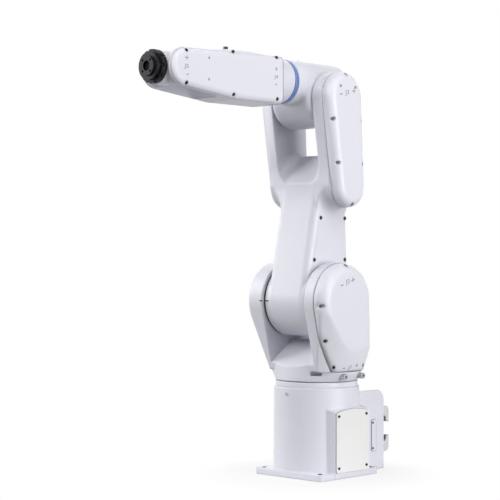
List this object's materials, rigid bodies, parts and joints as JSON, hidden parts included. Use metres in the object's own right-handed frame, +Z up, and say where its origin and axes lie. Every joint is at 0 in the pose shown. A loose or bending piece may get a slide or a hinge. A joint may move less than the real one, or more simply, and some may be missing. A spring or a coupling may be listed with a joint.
{
  "type": "industrial robot arm",
  "caption": "White jointed industrial robot arm on a round cast base with a bolted foot plate, forked shoulder and elbow, slim forearm and a black tool flange.",
  "frame": {"origin": "centre of the underside of the foot plate, on the first (vertical) joint axis", "axes": "+X forward along the forearm at rest, +Y to the arm's left, +Z up"},
  "size_m": [0.704, 0.2245, 0.9131],
  "materials": {
    "body_paint": "satin",
    "cover_paint": "satin",
    "panel_paint": "satin",
    "accent_blue": "satin",
    "black_anodised": "matte",
    "seal_rubber": "matte",
    "connector_metal": "satin",
    "plug_steel": "satin"
  },
  "bodies": {
    "base": {"base_casting": "body_paint", "base_collar": "body_paint", "access_cover": "panel_paint", "rear_panel": "body_paint", "power_connector": "connector_metal", "upper_latch": "connector_metal", "lower_latch": "connector_metal", "side_strip": "panel_paint"},
    "turret": {"turret_casting": "body_paint", "shoulder_cover": "cover_paint", "shoulder_cap": "cover_paint", "front_plug": "plug_steel", "rear_plug": "plug_steel"},
    "upper_arm": {"upper_arm_casting": "body_paint", "arm_cover_left": "cover_paint", "arm_cover_right": "cover_paint", "hub_seal_left": "seal_rubber", "hub_seal_right": "seal_rubber"},
    "elbow": {"elbow_casting": "body_paint", "elbow_rear_cover": "cover_paint", "accent_ring": "accent_blue"},
    "forearm": {"forearm_casting": "body_paint", "forearm_cover_left": "cover_paint", "forearm_cover_right": "cover_paint"},
    "wrist": {"wrist_housing": "body_paint"},
    "flange": {"flange_ring": "black_anodised", "tool_flange": "black_anodised"}
  },
  "joints": [
    {"name": "waist_turn", "type": "hinge", "parent": "base", "child": "turret", "pos_m": [0, 0, 0.2], "axis": [0, 0, 1], "range_deg": [-170, 170]},
    {"name": "shoulder_swing", "type": "hinge", "parent": "turret", "child": "upper_arm", "pos_m": [0.0275, 0, 0.383], "axis": [0, 1, 0], "range_deg": [-65, 110]},
    {"name": "elbow_swing", "type": "hinge", "parent": "upper_arm", "child": "elbow", "pos_m": [0.0275, 0, 0.823], "axis": [0, -1, 0], "range_deg": [-70, 190]},
    {"name": "forearm_roll", "type": "hinge", "parent": "elbow", "child": "forearm", "pos_m": [0.11, 0, 0.858], "axis": [1, 0, 0], "range_deg": [-190, 190]},
    {"name": "wrist_bend", "type": "hinge", "parent": "forearm", "child": "wrist", "pos_m": [0.445, 0, 0.858], "axis": [0, -1, 0], "range_deg": [-120, 120]},
    {"name": "tool_roll", "type": "hinge", "parent": "wrist", "child": "flange", "pos_m": [0.49, 0, 0.858], "axis": [1, 0, 0], "range_deg": [-360, 360]}
  ]
}
